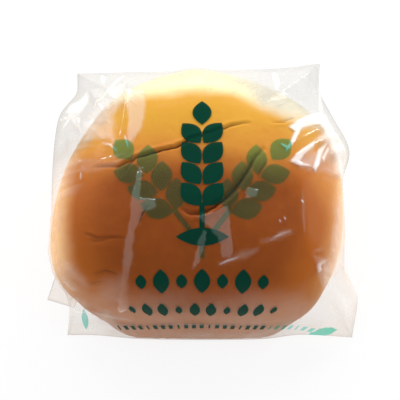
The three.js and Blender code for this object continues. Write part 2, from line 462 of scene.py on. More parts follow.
def crust_folds(x, y):
    """Depth of the grooves of the crust's folds, height of their lips, and how dark the shade painted along
    their lines is.
    """
    spots = np.stack([x, y, 0 * x], -1)
    groove, lips, dark = np.zeros_like(x), np.zeros_like(x), np.zeros_like(x)
    wander, length = FOLD_WANDER
    bent_x = x + wander * noise_at(spots, length, seed=51)
    bent_y = y + wander * noise_at(spots, length, seed=52)
    for line, depth, width, lip in CREASES:
        far, side, way = line_distance(bent_x, bent_y, line)
        taper = tapered(way, *FOLD_TAPER)
        off_lip = (far * side - LIP_OFF * width) / (LIP_WIDTH * width)
        off_line = far / (LINE_WIDTH * width)
        groove = np.maximum(groove, depth * taper * bell(far / width))
        lips = np.maximum(lips, lip * taper * bell(off_lip))
        # painted shade along the crease, darker where the groove is deeper
        dark = np.maximum(dark, min(1, PAINTED_SHADE_PER_DEPTH * depth) * taper * bell(off_line))
    return groove, lips, dark


def make_bun(material):
    """Makes the bun, and returns a search tree over its crust for the film to keep clear of."""
    bun = Piece("bun", ball_builder)
    spoke, row = ball_places(bun)
    bun.move(bun_table(SPOKES, ROWS)[spoke, row])
    points, normals = bun.points(), bun.normals()
    x, y, z = points.T
    groove, lips, dark = crust_folds(x, y)
    skin = SKIN[1] * noise_at(points, SKIN[0], seed=2, octaves=3)
    relief = (swelling(points) + lips - groove + skin) * rise(z, *RELIEF_HEIGHTS)
    bun.move(points + normals * relief[:, None])
    # painted shade along the creases, kept for the crust's material
    bun.note("painted_fold_shade", dark * rise(z, *LINE_HEIGHTS))
    tree = bun.tree()
    bun.finish(material, "bun_crust")
    return tree


# ---------------------------------------------------------------- the film

# Tents: film drawn up into a fold that starts wide and high, and ends in a point on the bun.
# Each has its start and its point, and its half width and height at the start.
TENTS = [
    ((-30, 47), (-33, 8.5), 6, 1.6),
    ((-54, 30), (-34.5, 8.5), 6, 1.6),
    ((-58, 28), (-46, -3), 4, 2),
    ((-48, 46), (-38, 22), 6, 2),
    ((55, 32), (32.5, 18.5), 5, 2.4),
    ((56, 27), (33, 8.5), 4, 2.2),
    ((58, 23), (34, 2.8), 4.5, 2.4),
    ((60, 18), (42.5, -1), 4, 2.0),
    ((62, 10), (46.5, -7), 4, 1.6),
    ((60, -52), (44, -36), 8, 1.6),
    ((-56, -54), (-38, -42), 8, 1.2),
]
TENT_TIP = 0.4  # half width at the point
TENT_SHAPE = (0.8, 1.3)  # powers by which a tent falls along its line and to its sides
TENT_START = 0.15  # share of its length over which it sets in
# Ridges: loose film off the crust, pointed at both ends: the line, half width and height.
RIDGES = [
    ([(-6.8, -17.6), (-4.6, -18.6)], 0.9, 0.6),
    ([(-45, 2.6), (-39, 4.2), (-33, 4.6), (-27, 6.5)], 1.1, 0.4),
    ([(52, 58), (51.5, 45), (52, 30)], 1.2, 1.2),
    ([(45, -39.2), (45.1, -36.3), (48.1, -33.7), (52.7, -29.1)], 1.1, 0.9),
    ([(45.8, -38.7), (48.4, -37.9), (52, -38.2)], 0.8, 0.6),
    ([(42.9, -33.9), (45, -31.4), (48.6, -29.8)], 0.8, 0.6),
    ([(-55.8, -39), (-50.4, -43.7), (-44.6, -45.2)], 1.4, 0.4),
    ([(17.4, -0.5), (18.8, -3.5), (17.6, -7.6)], 0.7, 0.5),
]
RIDGE_CREST = 0.2  # half width that a ridge keeps to its ends
RIDGE_SLOPE = 0.9  # width of its slopes
RIDGE_TAPER = (0.02, 0.5)
# Patches of film that bridge a hollow of the crust, by outline, all at one height.
PATCHES = [
    [(-24.3, -0.6), (-23.1, -1.5), (-23.1, -14), (-17.9, -14.3), (-16.7, -17.6), (-21.9, -19.6),
     (-25, -26.1), (-25.9, -35.4), (-28, -45.4), (-28.6, -52), (-32.6, -52), (-30.5, -42),
     (-28.8, -30), (-27.3, -23.6), (-26.6, -11)],
    [(-2.3, -21.4), (3.7, -19.7), (9.8, -16.6), (10.8, -24.5), (11.8, -33.8), (10.6, -36.5),
     (7.2, -36.5), (6.5, -31), (2.5, -25.5)],
    [(0.3, -26.3), (1.8, -27.1), (1.1, -32.1), (-1.2, -38), (-3.8, -41.4), (-3.8, -38), (-1.5, -30.3)],
    [(16.9, -9.4), (21.8, -10.4), (20.9, -13.4), (16.3, -14.2)],
]
PATCH_HEIGHT = 0.85
PATCH_EDGE = (-0.3, 0.5)  # from outside to inside its uneven outline
PATCH_UNEVEN = (2.5, 0.5)  # size and height of that unevenness
# Veils: places where the film is milky, by outline, with how milky and how soft their edge is.
VEILS = [
    ([(-50.7, 3.9), (-44.6, 5.7), (-36.9, 3.2), (-30, 3.2), (-35, -0.1), (-42, -1.2), (-48.5, -0.2)],
     0.12, 1.2),
    ([(-32, 37), (-29, 44), (-21.4, 50), (-11, 47), (-17, 40), (-24.3, 36)], 0.35, 4),
    ([(-59.6, 36.7), (-56.3, 44.4), (-50.8, 44.7), (-48.3, 38.9), (-50.1, 31.8), (-55.2, 32.5)], 0.4, 3),
    ([(-56.5, -30), (-53.5, -32), (-50, -35.5), (-46, -40.5), (-43, -44.5), (-45, -45.5), (-49.5, -42.5),
      (-53.5, -39), (-57, -35)], 0.26, 3),
    ([(-50, -47), (-42.2, -46.2), (-38, -43.2), (-34, -42.2), (-29.3, -41.2), (-29, -51), (-37.1, -54),
      (-48, -52)], 0.2, 5),
    ([(45.5, -34), (50, -33), (51, -22), (54, -6), (60, -6), (60, -27), (55, -36), (48, -44),
      (45.5, -40)], 0.56, 3),
    ([(39, -4), (39.2, -16.2), (40.1, -26.2), (43.4, -29.1), (46.4, -35.4), (50.7, -34.5),
      (54.3, -26.6), (56.2, -12.2), (55.3, -2.2), (49.2, 1)], 0.035, 2),
    ([(38, 4.3), (43.8, 6.5), (46.8, 10.9), (52.8, 14.6), (58.4, 15.3), (58.7, 9.5), (56, 0.5),
      (49.5, -0.7), (45.1, -0.2), (39, -0.2)], 0.34, 3),
    ([(22.4, -30.1), (25.5, -28.4), (29.4, -26.2), (34.1, -25), (34.1, -26.6), (29.3, -29), (24.7, -31)],
     0.2, 2),
    ([(5.9, -38.6), (9.7, -36.3), (14.1, -34.5), (18.6, -32.7), (21.7, -32.6), (20.9, -34.2),
      (15.6, -36.5), (10.4, -38.2), (6.7, -39)], 0.2, 2),
    ([(14, 37), (20, 34), (24, 28), (31, 24), (38, 25.5), (48, 32), (50, 50), (39, 56), (27, 57),
      (16, 52)], 0.3, 5),
    ([(17.8, -59.5), (19.5, -56), (27.5, -54.8), (33.4, -52.8), (37.8, -51.4), (38, -54.6),
      (34, -58), (25.5, -59.5)], 0.45, 4),
    ([(-44, -49.5), (-37, -50), (-32, -54), (-30, -59), (-38, -58.5), (-44, -54)], 0.46, 4),
    ([(42.5, -32.9), (44.2, -30.8), (46.8, -29.9), (49.1, -30), (49.1, -30.8), (46.6, -31.3),
      (44.6, -32)], 0.16, 0.8),
    ([(42.5, -33.2), (44, -33.6), (46.6, -33.1), (49.1, -30.8), (46.5, -35), (43.8, -35.6)], 0.18, 0.8),
]
# Glints: painted highlights, drawn as bright film where folds catch the light, by outline, with how bright
# and how soft.
GLINTS = [
    ([(-60.7, 37.1), (-58.2, 40.9), (-53.5, 41.9), (-49.8, 44.6), (-46.9, 40.4), (-49.6, 35.5),
      (-51.9, 30.7), (-57.3, 34)], 0.7, 2),
    ([(-44.9, 54.7), (-42.7, 51.8), (-42.2, 45.7), (-43.8, 47.8)], 0.9, 0.6),
    ([(44.3, -36.1), (45.6, -36.2), (46.6, -37.9), (45.4, -39.1), (44.4, -37.7)], 0.7, 0.6),
    ([(-51, 20), (-46, 31), (-38, 43), (-32.6, 44), (-32.4, 33), (-35.5, 25.4), (-35.7, 17.3),
      (-33.4, 6.8), (-36.7, 13), (-45, 15)], 0.3, 2.4),
    ([(-32.2, 39), (-24, 37), (-22.5, 26), (-23.5, 18), (-26, 13.5), (-29.1, 8), (-30.2, 14.3),
      (-30.3, 24.2)], 0.3, 1.5),
    ([(34.5, 18.1), (38.1, 22), (42.8, 25.7), (50, 31.7), (52, 26), (48, 23.5), (44, 21),
      (39.9, 18.1), (37.9, 14.3), (35.2, 9.3), (33, 7.2), (34.9, 11.5), (37.3, 16.6)], 0.9, 0.7),
    ([(34, 2.5), (37.5, 6.5), (41.5, 10.5), (45.7, 14.3), (44.1, 10.2), (40.4, 6.2), (38.1, 2.9),
      (43.9, 1.9), (38.4, 1.1)], 0.95, 0.6),
    ([(37.5, 5), (41, 9.5), (45, 12.5), (46, 6), (44, 2), (39, 2.2)], 0.2, 1.5),
    ([(46.2, 9.9), (51.5, 15.9), (47.9, 7.6), (44.6, -0.7), (43.5, 1.2)], 0.92, 0.6),
    ([(51.2, 13.7), (51.5, 11.9), (48.1, 5), (47.8, 6.7)], 0.8, 0.5),
    ([(50.5, 31), (53.3, 30), (57.3, 23.4), (62.5, 18), (61, 8), (57.5, 2), (54.5, 1.4), (54.2, 8.5),
      (50.8, 14), (46, 14), (49, 20)], 0.72, 3),
]
# Streaks of painted highlight along sharp folds: the line, half width, how bright.
STREAKS = [
    ([(39.2, 19.5), (37.1, 14.7), (35.2, 10.2), (33, 7.2)], 0.6, 0.9),
    ([(31.4, 9.8), (33.4, 8.6), (35, 8.8)], 0.6, 0.7),
    ([(52.3, 57), (52.1, 45.2), (50.5, 28.2)], 0.6, 0.5),
    ([(51.1, 26.1), (55.2, 20.4), (61.4, 16.7)], 0.6, 0.5),
    ([(31.6, 52.5), (31.8, 43.8), (31.4, 38.1)], 0.7, 0.8),
    ([(-45.2, 32.8), (-39.8, 39.4), (-34.6, 50.9)], 0.45, 0.9),
    ([(-60.4, 29.1), (-56.2, 32.4)], 0.5, 0.9),
    ([(-62, 34), (-56.2, 33), (-51.3, 24.2)], 0.4, 0.8),
    ([(-55.2, 32.5), (-51.2, 28.2), (-49.4, 20.1)], 0.4, 0.8),
    ([(-40, 12), (-36.7, 10.5), (-33.6, 7)], 0.4, 0.6),
    ([(-31, 14), (-30, 11), (-29.1, 8)], 0.4, 0.6),
    ([(-48.6, 0.4), (-48.2, -3)], 0.3, 0.4),
    ([(45, -39.2), (45.1, -36.3), (48.1, -34.4)], 0.45, 0.5),
    ([(-53.5, -47.4), (-44.6, -51.1), (-36.4, -53), (-28.6, -54.3)], 0.4, 0.16),
    ([(39.2, -8.9), (39.3, -15), (39.1, -21), (39.7, -25.8)], 0.5, 0.09),
    ([(26, -29.6), (29.4, -27.4), (33.5, -25.8)], 0.3, 0.3),
    ([(6.5, -38.6), (9.7, -37.2), (13.5, -36.2)], 0.3, 0.4),
    ([(38.4, -13.4), (39.4, -13.3)], 0.3, 1.0),
    ([(29.6, -22.3), (29.9, -22.2)], 0.25, 1.0),
    ([(31.3, -21), (31.6, -20.9)], 0.25, 1.0),
]
STREAK_HEIGHT = 0.5  # by which film stands over the rest where a highlight is painted
STREAK_WANDER = (4, 0.4)  # over what length a streak wanders, and by how much
STREAK_TAPER = (0.05, 0.6)
STREAK_SOFTNESS = (0.35, 0.8)  # on the bun, and past its edge beyond these distances
STREAK_SOFT_PAST = (8, 16)
AREA_UNEVEN = (5, 0.5)  # size of an area's unevenness, and its share of the softness
# The film clings to the crust inside this line, which runs clockwise, and stands off it beyond.
CLING_EDGE = [
    (-36, 22), (-29, 31), (-19.5, 38), (0, 38), (12, 36), (22, 31), (32, 27), (44, 22), (49, 14), (51, 5),
    (50, -6), (49, -20), (48, -27), (49.5, -34), (49.5, -42), (43, -46), (20, -45), (0, -45),
    (-39, -45), (-44, -44.5), (-48, -36), (-50, -22), (-50, -8), (-49, 2), (-47, 8), (-43, 13), (-36, 22),
]
STAND_OFF = (0.6, 16)  # height, and the width over which it is reached
# How the cling edge wanders: sizes, distances and seeds, and where in x it does so in full.
CLING_WANDER = [(13, 4, 31), (5, 1.5, 32)]
CLING_WANDER_FROM = (20, 45)
# How milky the film grows towards its rim, by direction in degrees from +X.
MILKY_TOWARDS = [
    (-180, 0.33), (-150, 0.3), (-120, 0.2), (-90, 0.13), (-45, 0.35), (0, 0.35), (40, 0.34), (90, 0.45),
    (140, 0.45), (180, 0.33),
]
MILKY_WIDTH = 11
FOOT_MILK = 0.2  # what is added low down at the foot, between these heights and these places in y
FOOT_MILK_HEIGHTS = (20, 8)
FOOT_MILK_FROM = (-44, -54)
LOOSE_MILK = 0.06  # what loose film adds
MILK_CLOUDS = (9, 0.35)  # size and strength of the milk's unevenness
UNDERSIDE = {"milky": 0.07, "loose": 0.6}
# Pleats that run out from the bun to the rim.
PLEAT_TURN = 4.5  # degrees from one to the next
PLEAT_LENGTH = 22
PLEAT_HEIGHT = 0.3
PLEAT_MILK = 0.16
PLEAT_EDGE = (0.05, 0.45)  # of the noise that says where a pleat lies
PLEATS_PAST = (-6, 3)
PLEATS_HEADWARDS = (-30, -5)
# Film grows loose by its lift off the crust: from the first lift, up to the second on the bun and
# up to the third past its edge. A groove counts as less lift, by a share of its depth.
LOOSE_LIFTS = (0.5, 0.72, 1.5)
LOOSE_LIFTS_PAST = (-10, -1)
LOOSE_GROOVE = 0.5
LOOSE_UNEVEN = (2.5, 0.12)  # size and height of its unevenness
LOOSE_PAST = (-3, 10)
# Past the edge loose film is smoother by this share, but not where folds are drawn near the bun.
SMOOTHER = 0.65
SMOOTHER_PAST = (-3, 8)
FOLDED_HEIGHTS = (0.1, 0.4)
FOLDED_PAST = (14, 7)
# Crumples of slack film: the distance between folds and the slope between them.
CRUMPLES = [(23, 0.13), (17, 0.12), (12, 0.1), (8, 0.07), (5, 0.05)]
CRUMPLE_TURNS = (0.5, 2.4)  # direction of the first folds, and the turn to the next, in radians
CRUMPLE_SHIFT = 0.37  # of each size of fold over the one before, in folds
CRUMPLE_BEND = (24, 5)  # over what length the folds bend, and by how much
CRUMPLE_AREA = 1.4  # size of the areas that a size of crumple keeps to, in folds
CRUMPLE_EDGE = (-0.15, 0.25)  # of the noise that says where they lie
CRUMPLE_LEVEL = 0.2  # height of the unfolded film, as a share of a zigzag
# Where the film is calm: how calm its foot half and its head are, how far from the middle the
# calm of the foot half reaches at the left and at the right, and over what width it ends.
CALM = {"foot": 0.85, "head": 0.8}
CALM_REACH = (56, 46)
CALM_WIDTH = 12
CALM_HEAD_FROM = (12, 28)
SLACK_HEIGHTS = (1.5, 8)  # over the dome, between which the film grows slack
FOLLOW_HEIGHTS = (0.8, 3)  # over the dome, between which it stops following the crust
FOLLOWED = {"lips": 0.7, "grooves": 0.25}
# By share of the rows over the rim: where relief sets in, the seam's line, and the change of sides.
TOP_RELIEF_ROWS = (0.01, 0.14)
RIM_ROWS = (0.012, 0.004)
SIDE_ROWS = (-0.005, 0.005)
STEP_EDGE = (4, 9)  # distances from the side's step between which the seam starts again
FILM_CLEARANCE = 0.2
CLEAR_WITHIN = 3  # how near the crust a point of the film is looked at
EAR_CELLS = 30
EAR_WAVE = (5, 0.35)  # length and height of its waves
EAR_MILK = 0.25
EAR_RIM = (0.44, 0.48)
EAR_THICKNESS = 0.3


def drawn_folds(x, y):
    """Height of the film's tents, ridges and patches over its bare form."""
    relief = np.zeros_like(x)
    for start, end, width, height in TENTS:
        far, _, way = line_distance(x, y, [start, end])
        left = 1 - way
        flank = np.clip(1 - far / (TENT_TIP + width * left), 0, 1)
        fall = height * left ** TENT_SHAPE[0] * flank ** TENT_SHAPE[1]
        relief = np.maximum(relief, fall * rise(way, 0, TENT_START))
    for line, width, height in RIDGES:
        far, _, way = line_distance(x, y, line)
        taper = tapered(way, *RIDGE_TAPER)
        flank = rise(RIDGE_CREST + width * taper - far, 0, RIDGE_SLOPE)
        relief = np.maximum(relief, height * taper * flank)
    size, reach = PATCH_UNEVEN
    uneven = reach * noise_at(np.stack([x, y, 0 * x], -1), size, seed=64, octaves=2)
    for outline in PATCHES:
        relief = np.maximum(relief, PATCH_HEIGHT * rise(uneven - outside(x, y, outline), *PATCH_EDGE))
    return relief


def in_areas(points, areas, seed):
    """How strongly points lie in areas with uneven, soft outlines."""
    x, y, _ = points.T
    total = np.zeros_like(x)
    size, share = AREA_UNEVEN
    uneven = noise_at(points, size, seed)
    for outline, strength, softness in areas:
        reach = share * min(softness, 2) * uneven - outside(x, y, outline)
        total = np.maximum(total, strength * rise(reach, -softness / 2, softness))
    return total


def streaks(points, softness):
    """How bright the highlight painted on the film is along its sharp folds."""
    x, y, _ = points.T
    total = np.zeros_like(x)
    size, wander = STREAK_WANDER
    x = x + wander * noise_at(points, size, seed=62)
    for line, width, painted_glint in STREAKS:
        far, _, way = line_distance(x, y, line)
        inside = (width * tapered(way, *STREAK_TAPER) - far) / softness
        total = np.maximum(total, painted_glint * rise(inside, -1, 1))
    return total


def beyond_cling(points):
    """Distance past the uneven edge of the area where the film clings to the crust."""
    x, y, _ = points.T
    far, side, _ = line_distance(x, y, CLING_EDGE)
    uneven = sum(reach * noise_at(points, size, seed) for size, reach, seed in CLING_WANDER)
    return far * side + uneven * mix(0.5, 1, rise(np.abs(x), *CLING_WANDER_FROM))


def crumple(points):
    """Flat facets between straight hard folds, as film takes them where it is slack."""
    x, y, _ = points.T
    size, reach = CRUMPLE_BEND
    bend = reach * noise_at(points, size, seed=7)
    total = np.zeros_like(x)
    for i, (pitch, slope) in enumerate(CRUMPLES):
        turn = CRUMPLE_TURNS[1] * i + CRUMPLE_TURNS[0]
        steps = (x * math.cos(turn) + y * math.sin(turn) + bend) / pitch + CRUMPLE_SHIFT * i
        zigzag = np.abs(steps - np.rint(steps))
        here = rise(noise_at(points, CRUMPLE_AREA * pitch, seed=20 + i), *CRUMPLE_EDGE)
        total += (zigzag - CRUMPLE_LEVEL) * pitch * slope * here
    return total


def keep_clear(piece, tree, gap):
    """Pushes a piece's vertices out to a gap over the surface in a search tree."""
    points = piece.points()
    for i, point in enumerate(points):
        foot, normal, _, far = tree.find_nearest(Vector(point))
        over = (Vector(point) - foot).dot(normal)
        if far <= CLEAR_WITHIN and over < gap:
            points[i] += np.array(normal) * (gap - over)
    piece.move(points)


class Drape:
    """How the bare film lies over the bun, and what is drawn on it, point by point."""

    def __init__(self, points, fall):
        self.points = points
        self.x, self.y, self.z = points.T
        dx, dy = self.x - BUN_CENTRE[0], self.y - BUN_CENTRE[1]
        self.angle, self.out = np.arctan2(dy, dx), np.hypot(dx, dy)
        self.over_dome = self.z - dome_height(self.out / bun_radius(self.angle), self.angle, 0)
        self.over_rim = TOP_PART - fall
        self.on_top = rise(self.over_rim, *TOP_RELIEF_ROWS)
        self.upper_side = rise(self.over_rim, *SIDE_ROWS)
        self.groove, self.lips, _ = crust_folds(self.x, self.y)
        self.beyond = beyond_cling(points)
        self.drawn = drawn_folds(self.x, self.y)
        self.pleats = self.pleated()
        softness = mix(*STREAK_SOFTNESS, rise(self.beyond, *STREAK_SOFT_PAST))
        # painted highlights: glints and streaks drawn as bright film
        self.painted_glint = np.maximum(streaks(points, softness), in_areas(points, GLINTS, seed=63))

    def pleated(self):
        """How strongly the film is pleated: past the bun's edge, and not at the foot."""
        spots = np.stack([np.degrees(self.angle) / PLEAT_TURN, self.out / PLEAT_LENGTH, 0 * self.x], -1)
        strength = rise(noise_at(spots, 1, seed=65, octaves=2), *PLEAT_EDGE)
        return strength * rise(self.beyond, *PLEATS_PAST) * rise(self.y, *PLEATS_HEADWARDS)

    def slack(self):
        """How freely the film crumples: well off the dome, and not where it is calm."""
        inside = np.where(self.x < 0, *CALM_REACH) - np.abs(self.x)
        calm_foot = CALM["foot"] * rise(inside, 0, CALM_WIDTH) * (self.y < 0)
        calm_head = CALM["head"] * rise(self.y, *CALM_HEAD_FROM)
        return rise(self.over_dome, *SLACK_HEIGHTS) * (1 - np.maximum(calm_foot, calm_head))

    def relief(self):
        """Height of the finished film over its bare form."""
        crust = swelling(self.points) + FOLLOWED["lips"] * self.lips - FOLLOWED["grooves"] * self.groove
        follow = (1 - rise(self.over_dome, *FOLLOW_HEIGHTS)) * crust
        stand_off = STAND_OFF[0] * rise(self.beyond, 0, STAND_OFF[1])
        relief = follow + self.drawn + stand_off + self.slack() * crumple(self.points)
        return (relief + PLEAT_HEIGHT * self.pleats + STREAK_HEIGHT * self.painted_glint) * self.on_top

    def loose(self, lift):
        """How loose the film is, from 0 where it clings, by its distance from the crust."""
        start, full, full_past = LOOSE_LIFTS
        full = mix(full, full_past, rise(self.beyond, *LOOSE_LIFTS_PAST))
        uneven = LOOSE_UNEVEN[1] * noise_at(self.points, LOOSE_UNEVEN[0], seed=41)
        off = lift - LOOSE_GROOVE * self.groove + uneven
        loose = np.maximum(rise(off, start, full), rise(self.beyond, *LOOSE_PAST) * self.on_top)
        folded = rise(self.drawn, *FOLDED_HEIGHTS) * rise(self.beyond, *FOLDED_PAST)
        return loose * (1 - SMOOTHER * rise(self.beyond, *SMOOTHER_PAST) * (1 - folded))

    def milky(self, loose):
        """How milky the film is: towards its rim, in veils, in pleats and low down at the foot."""
        rimwards = np.interp(np.degrees(self.angle), *zip(*MILKY_TOWARDS))
        rimwards = rimwards * rise(self.beyond, 0, MILKY_WIDTH)
        veiled = np.maximum(rimwards, in_areas(self.points, VEILS, seed=61))
        milky = LOOSE_MILK * loose + veiled + PLEAT_MILK * self.pleats
        milky = milky + FOOT_MILK * rise(self.z, *FOOT_MILK_HEIGHTS) * rise(self.y, *FOOT_MILK_FROM)
        return milky * (1 + MILK_CLOUDS[1] * noise_at(self.points, MILK_CLOUDS[0], seed=42))

    def rim(self):
        """Where the seam shows: along the rim, but not at the side's step."""
        step = np.hypot(self.x - SIDE_STEP[0], self.y - SIDE_STEP[1])
        return rise(np.abs(self.over_rim), *RIM_ROWS) * rise(step, *STEP_EDGE)


def make_film(material, crust):
    """The bag, from the bare film to its folds, clear of the crust, with what its material reads."""
    film = Piece("film_bag", ball_builder)
    spoke, row = ball_places(film)
    table, sheet = film_table(SPOKES, ROWS)
    film.move(table[spoke, row])
    drape = Drape(film.points(), row / ROWS)
    film.move(drape.points + film.normals() * drape.relief()[:, None])
    keep_clear(film, crust, FILM_CLEARANCE)
    loose = drape.loose(np.array([crust.find_nearest(Vector(p))[3] for p in film.points()]))
    milk_under = UNDERSIDE["milky"] * (1 + drape.pleats)
    film.note("loose", mix(UNDERSIDE["loose"], loose, drape.upper_side))
    film.note("milky", mix(milk_under, drape.milky(loose), drape.upper_side))
    film.note("painted_glint", drape.painted_glint * drape.upper_side)
    film.note("rim", drape.rim())
    film.note("sheet", sheet[spoke, row])
    film.finish(material, "bag_film")


def make_ear(material):
    """The corner of the side fold, a flap of film behind the foot."""

    def builder(made):
        bmesh.ops.create_grid(made, x_segments=EAR_CELLS, y_segments=EAR_CELLS, size=0.5)

    ear = Piece("side_ear", builder)
    u, v, _ = (ear.points() + (0.5, 0.5, 0)).T
    a, b, c, d = (np.array(p, float) for p in LEFT_EAR)
    near_side, far_side = mix(a, b, u[:, None]), mix(d, c, u[:, None])
    points = mix(near_side, far_side, v[:, None])
    points[:, 2] += EAR_WAVE[1] * noise_at(points, EAR_WAVE[0], seed=8)
    ear.move(points)
    ear.note("loose", np.ones(len(points)))
    ear.note("milky", np.full(len(points), EAR_MILK))
    ear.note("painted_glint", np.zeros(len(points)))
    ear.note("rim", rise(np.maximum(np.abs(u - 0.5), np.abs(v - 0.5)), *EAR_RIM))
    ear.note("sheet", np.zeros((len(points), 3)))
    wall = ear.finish(material, "bag_film").modifiers.new("wall", "SOLIDIFY")
    wall.thickness = EAR_THICKNESS * MM


# ---------------------------------------------------------------- shader maths


class Value:
    """A socket of a surface. Arithmetic on it adds Math nodes."""

    def __init__(self, surface, socket):
        self.surface, self.socket = surface, socket

    def maths(self, operation, *others):
        sockets = dict(enumerate([self, *others]))
        return self.surface.node("ShaderNodeMath", {"operation": operation}, sockets)

    def __add__(self, other):
        return self.maths("ADD", other)

    __radd__ = __add__

    def __sub__(self, other):
        return self.maths("SUBTRACT", other)

    def __rsub__(self, other):
        return self.maths("MULTIPLY_ADD", -1.0, other)

    def __mul__(self, other):
        return self.maths("MULTIPLY", other)

    __rmul__ = __mul__

    def __truediv__(self, other):
        return self.maths("DIVIDE", other)

    def __rtruediv__(self, other):
        return self.maths("POWER", -1.0) * other

    def __pow__(self, other):
        return self.maths("POWER", other)

    def __rpow__(self, other):
        return self.surface.node("ShaderNodeMath", {"operation": "POWER"}, {0: other, 1: self})

    def __abs__(self):
        return self.maths("ABSOLUTE")

    def least(self, other):
        return self.maths("MINIMUM", other)

    def most(self, other):
        return self.maths("MAXIMUM", other)

    def rise(self, low, high):
        """0 below low, 1 above high, and a soft step between them."""
        spans = {"Value": self, "From Min": low, "From Max": high}
        return self.surface.node("ShaderNodeMapRange", {"interpolation_type": "SMOOTHSTEP"}, spans)


class Surface:
    """A material's nodes."""

    def __init__(self, name):
        self.material = bpy.data.materials.new(name)
        self.material.use_nodes = True
        self.tree = self.material.node_tree
        self.tree.nodes.clear()

    def node(self, kind, settings=None, inputs=None, output=0):
        made = self.tree.nodes.new(kind)
        for key, value in (settings or {}).items():
            setattr(made, key, value)
        for key, value in (inputs or {}).items():
            if isinstance(value, Value):
                self.tree.links.new(value.socket, made.inputs[key])
            else:
                made.inputs[key].default_value = value
        return Value(self, made.outputs[output])

    def place(self):
        return self.node("ShaderNodeTexCoord", output="Object")

    def noted(self, name, output="Fac"):
        return self.node("ShaderNodeAttribute", {"attribute_name": name}, output=output)

    def parts(self, vector):
        return [self.node("ShaderNodeSeparateXYZ", inputs={0: vector}, output=i) for i in range(3)]

    def noise(self, place, size, detail=2.0, roughness=0.5, output="Fac"):
        """Noise with features of a size in millimetres."""
        spots = {"Vector": place, "Scale": 1 / (size * MM), "Detail": detail, "Roughness": roughness}
        return self.node("ShaderNodeTexNoise", inputs=spots, output=output)

    def blend(self, factor, first, second):
        """A mix of two colours."""
        sockets = {0: factor, 6: first, 7: second}
        return self.node("ShaderNodeMix", {"data_type": "RGBA"}, sockets, output=2)

    def shader_mix(self, factor, first, second):
        return self.node("ShaderNodeMixShader", inputs={0: factor, 1: first, 2: second})

    def bump(self, height, distance, strength=1.0):
        sockets = {"Height": height, "Distance": distance * MM, "Strength": strength}
        return self.node("ShaderNodeBump", inputs=sockets, output="Normal")

    def finish(self, shader):
        out = self.tree.nodes.new("ShaderNodeOutputMaterial")
        self.tree.links.new(shader.socket, out.inputs["Surface"])
        return self.material


# ---------------------------------------------------------------- crust

# Tones of the crust. The step from dark at the foot to gold and pale at the head is partly the crust's own
# tone and partly painted light, because the light falls from the head side. The pale tone also paints glare
# at the head.
CRUST_DARK = (0.212, 0.046, 0.0035, 1)
CRUST_BROWN = (0.36, 0.092, 0.008, 1)
CRUST_AMBER = (0.52, 0.19, 0.028, 1)
LIT_GOLD_CRUST = (0.55, 0.275, 0.024, 1)
PALE_GLARE_CRUST = (0.8, 0.72, 0.44, 1)
CRUST_CREAM = (0.62, 0.57, 0.42, 1)
# the pale tone low on the sides, made brighter as painted light on the flanks
LIT_SIDE_CRUST = (0.97, 0.61, 0.26, 1)
# colour of the shade painted along the crust's creases
PAINTED_FOLD_SHADE = (0.035, 0.009, 0.002, 1)

# Noise of the crust: size of its features, detail, roughness.
CLOUD = (22, 3)
MOTTLE = (3.2, 3, 0.6)
GRAIN = (0.9, 3, 0.6)
# The dark crown: its middle, and how much shorter it is along y.
CROWN_MIDDLE = (-2, -22)
CROWN_SQUEEZE = 1.25
CLOUD_REACH = {"tones": 14, "side": 8, "pale": 10, "base": 3}  # how far clouds push edges of tones
# Where each tone starts and where it is full, in millimetres: outwards from the crown's middle,
# headwards (+y), rightwards (+x) or by height.
BROWN_OUTWARDS = (34, 54)
AMBER_OUTWARDS = (52, 66)
AMBER_FROM_FOOT = (-56, -40)
AMBER_HEADWARDS = (-8, 12)
GOLD_HEADWARDS = (0, 24)
PALE_HEADWARDS = (29, 39)
CREAM_RIGHTWARDS = (13, 28)
SIDE_HEIGHTS = (45, 27)
SIDE_FROM_FOOT = (-50, -28)
FLANK_HEIGHTS = (24, 12)
FLANK_PALE_HEADWARDS = (-20, 30)
BASE_HEIGHTS = (3, 0.5)
PALE_LOWERED = (11, (10, 34))  # how much nearer the pale edge is at the right, and from where in x
# The crown ends sooner at the foot's right corner: by how much, and where in x and in y.
CORNER_SHIFT = (7, (37, 43), (-38, -26))
# The left flank is paler higher up: by how much, and between which places in x and in y.
LEFT_LIFT = 5
LEFT_ACROSS = [(-42, -56), (-62.5, -58)]
LEFT_ALONG = [(-46, -34), (4, -8)]
SIDE_LEAST = 0.1  # share of the side's tone at the foot
# Brown specks: the level of the mottle where they start, the width over which they set in, their
# strength, and how much weaker they are on gold.
SPECKS = (0.42, 0.4, 0.28, 0.2)
# how strongly the crease shade is painted
PAINTED_SHADE_STRENGTH = 0.95
CRUST_ROUGHNESS = (0.5, 0.16)  # the least, and what the grain adds
CRUST_BUMP = (0.12, 0.5)  # height and strength
CRUST_SHINE = 0.1


